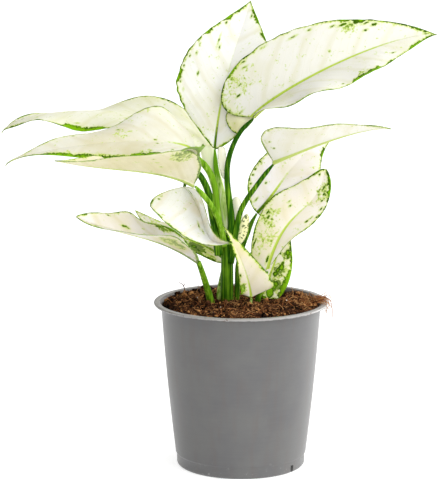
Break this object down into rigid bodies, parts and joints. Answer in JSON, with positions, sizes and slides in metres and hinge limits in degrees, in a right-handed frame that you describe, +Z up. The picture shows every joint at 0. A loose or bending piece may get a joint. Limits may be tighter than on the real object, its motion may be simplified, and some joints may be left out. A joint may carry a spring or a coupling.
{
  "type": "potted chinese evergreen",
  "caption": "Chinese evergreen houseplant with cream leaves edged in green, rooted in peat soil in a round grey plastic nursery pot with a rolled rim and drain holes.",
  "frame": {"origin": "centre of the pot's underside, on the surface it stands on", "axes": "+Z up along the pot's axis, -Y towards the viewer, +X to the viewer's right"},
  "size_m": [0.301, 0.1464, 0.3172],
  "materials": {
    "pot_plastic": "satin moulded plastic",
    "soil": "rough damp peat and coir",
    "fibre": "loose coir fibre",
    "leaf_cream": "soft waxy leaf",
    "leaf_mottled": "soft waxy leaf, mottled green",
    "stalk_green": "smooth fleshy stalk",
    "stalk_pale": "smooth fleshy stalk",
    "scale_papery": "dry papery scale"
  },
  "bodies": {
    "root": {"pot": "pot_plastic", "potting_soil": "soil", "peat_clump": "soil", "fibre_tuft": "fibre", "main_stem": "stalk_green", "papery_scale": "scale_papery", "mottled_scale": "leaf_mottled", "crown_sheath": "scale_papery", "upper_right_leaf_flap": "leaf_cream", "crown_leaf_blade": "leaf_cream", "crown_leaf_stalk": "stalk_pale", "upper_right_leaf_blade": "leaf_cream", "upper_right_leaf_stalk": "stalk_green", "upper_left_back_leaf_blade": "leaf_cream", "upper_left_back_leaf_stalk": "stalk_pale", "upper_left_front_leaf_blade": "leaf_cream", "upper_left_front_leaf_stalk": "stalk_green", "left_folded_leaf_blade": "leaf_cream", "left_folded_leaf_stalk": "stalk_green", "front_hanging_leaf_blade": "leaf_cream", "front_hanging_leaf_stalk": "stalk_green", "lower_left_leaf_blade": "leaf_mottled", "lower_left_leaf_stalk": "stalk_green", "left_back_leaf_blade": "leaf_mottled", "left_back_leaf_stalk": "stalk_pale", "right_folded_leaf_blade": "leaf_cream", "right_folded_leaf_stalk": "stalk_green", "right_back_leaf_blade": "leaf_cream", "right_back_leaf_stalk": "stalk_green", "right_middle_leaf_blade": "leaf_mottled", "right_middle_leaf_stalk": "stalk_green", "lower_right_leaf_blade": "leaf_mottled", "lower_right_leaf_stalk": "stalk_green", "front_low_leaf_blade": "leaf_cream", "front_low_leaf_stalk": "stalk_pale"}
  },
  "joints": []
}
